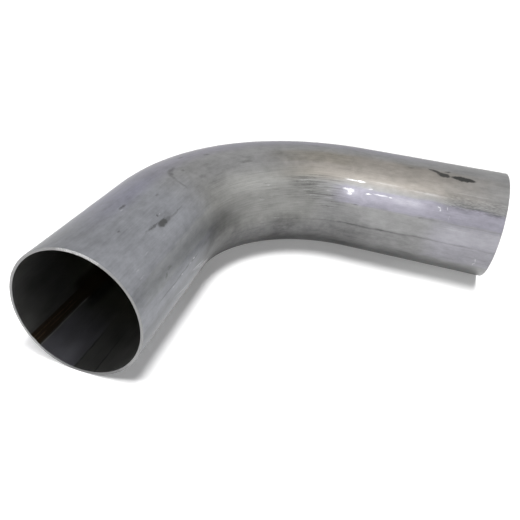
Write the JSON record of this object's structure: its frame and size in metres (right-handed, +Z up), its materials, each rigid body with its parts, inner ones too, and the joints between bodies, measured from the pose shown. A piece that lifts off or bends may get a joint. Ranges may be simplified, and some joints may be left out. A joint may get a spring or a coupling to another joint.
{
  "type": "mandrel bend tube",
  "caption": "Thin-walled seam-welded steel tube with a smooth right-angle mandrel bend between two straight legs, open at both square-cut ends, lying on its side.",
  "frame": {"origin": "on the floor, under the middle of the tube's bounding box", "axes": "+Z up; the near leg runs along Y and its open end faces -Y; the far leg runs along X and its open end faces +X"},
  "size_m": [0.2514, 0.2474, 0.0762],
  "materials": {
    "bare_steel": "bare mill-finish steel with fine streaks along the tube, scuffs, and a heat-tinted weld seam inside"
  },
  "bodies": {
    "root": {"bent_tube": "bare_steel"}
  },
  "joints": []
}
